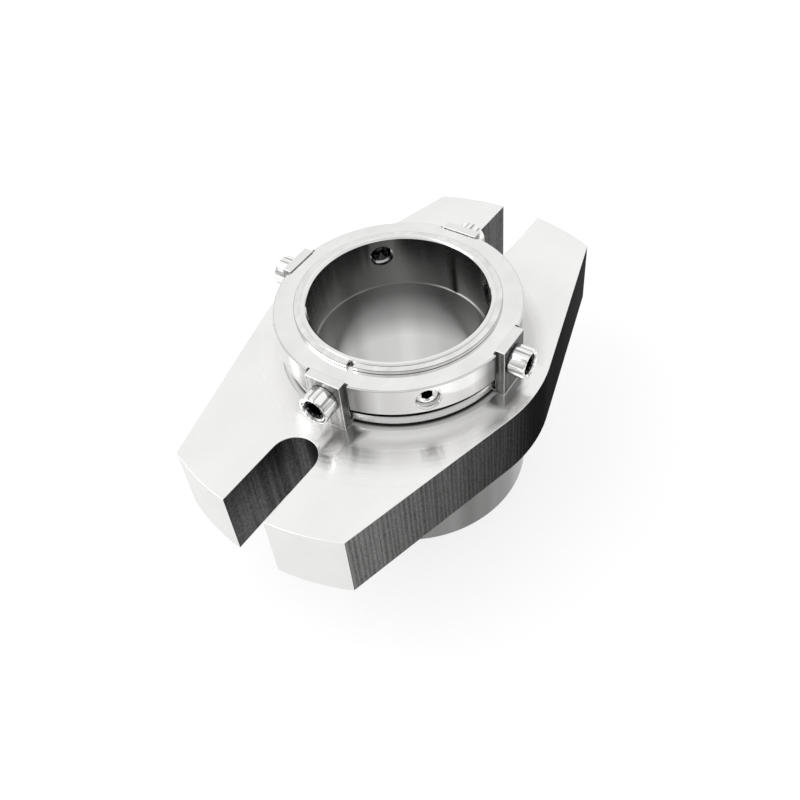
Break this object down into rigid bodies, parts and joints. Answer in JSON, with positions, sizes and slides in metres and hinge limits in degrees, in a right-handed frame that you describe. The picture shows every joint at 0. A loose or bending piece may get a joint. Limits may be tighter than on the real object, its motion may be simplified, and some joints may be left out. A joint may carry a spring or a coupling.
{
  "type": "cartridge mechanical seal",
  "caption": "Cartridge shaft seal: slotted gland plate on a shaft sleeve with drive collar, radial setting clips, set screws and a spring-loaded face inside the seal head.",
  "frame": {"origin": "on the shaft axis at the inboard end of the sleeve, which is the bottom of the part", "axes": "+Z along the shaft from the inboard end to the drive collar, +X through the two bolt slots of the gland"},
  "size_m": [0.1394, 0.0866, 0.0664],
  "materials": {
    "gland_steel": "turned and polished stainless steel",
    "turned_steel": "turned and polished stainless steel",
    "clip_steel": "milled stainless steel",
    "screw_steel": "bright stainless steel",
    "set_screw_steel": "dark hardened steel",
    "spring_steel": "bright spring steel",
    "pin_steel": "ground stainless steel",
    "seat_ceramic": "lapped silicon carbide",
    "face_carbon": "lapped carbon graphite",
    "elastomer": "smooth moulded elastomer",
    "gasket": "pressed gasket sheet"
  },
  "bodies": {
    "gland": {"gland_plate": "gland_steel", "stationary_seat": "seat_ceramic", "seat_oring": "elastomer", "seat_pin": "pin_steel", "gland_gasket": "gasket"},
    "rotor": {"sleeve": "turned_steel", "shaft_oring": "elastomer", "head_shell": "turned_steel", "drive_pin_1": "pin_steel", "drive_pin_2": "pin_steel", "spring_1": "spring_steel", "spring_2": "spring_steel", "spring_3": "spring_steel", "spring_4": "spring_steel", "spring_5": "spring_steel", "spring_6": "spring_steel", "spring_7": "spring_steel", "spring_8": "spring_steel", "drive_collar": "turned_steel", "retaining_ring": "spring_steel", "set_screw_1": "set_screw_steel", "set_screw_2": "set_screw_steel", "set_screw_3": "set_screw_steel", "set_screw_4": "set_screw_steel"},
    "sprung_face": {"rotary_face": "face_carbon", "face_oring": "elastomer", "thrust_ring": "turned_steel"},
    "clip_set_1": {"clip_1": "clip_steel", "clip_screw_1": "screw_steel"},
    "clip_set_2": {"clip_2": "clip_steel", "clip_screw_2": "screw_steel"},
    "clip_set_3": {"clip_3": "clip_steel", "clip_screw_3": "screw_steel"},
    "clip_set_4": {"clip_4": "clip_steel", "clip_screw_4": "screw_steel"}
  },
  "joints": [
    {"name": "rotor_spin", "type": "hinge", "parent": "gland", "child": "rotor", "pos_m": [0, 0, 0.06], "axis": [0, 0, 1], "continuous": true},
    {"name": "face_float", "type": "slide", "parent": "rotor", "child": "sprung_face", "axis": [0, 0, 1], "range_m": [-0.0012, 0], "stiffness_N_per_m": 16000, "springref_m": 0.003, "deforming": ["spring_1", "spring_2", "spring_3", "spring_4", "spring_5", "spring_6", "spring_7", "spring_8"]},
    {"name": "clip_pull_1", "type": "slide", "parent": "rotor", "child": "clip_set_1", "axis": [0.9996, 0.0279, 0], "range_m": [0, 0.012]},
    {"name": "clip_pull_2", "type": "slide", "parent": "rotor", "child": "clip_set_2", "axis": [-0.0279, 0.9996, 0], "range_m": [0, 0.012]},
    {"name": "clip_pull_3", "type": "slide", "parent": "rotor", "child": "clip_set_3", "axis": [-0.9996, -0.0279, 0], "range_m": [0, 0.012]},
    {"name": "clip_pull_4", "type": "slide", "parent": "rotor", "child": "clip_set_4", "axis": [0.0279, -0.9996, 0], "range_m": [0, 0.012]}
  ]
}
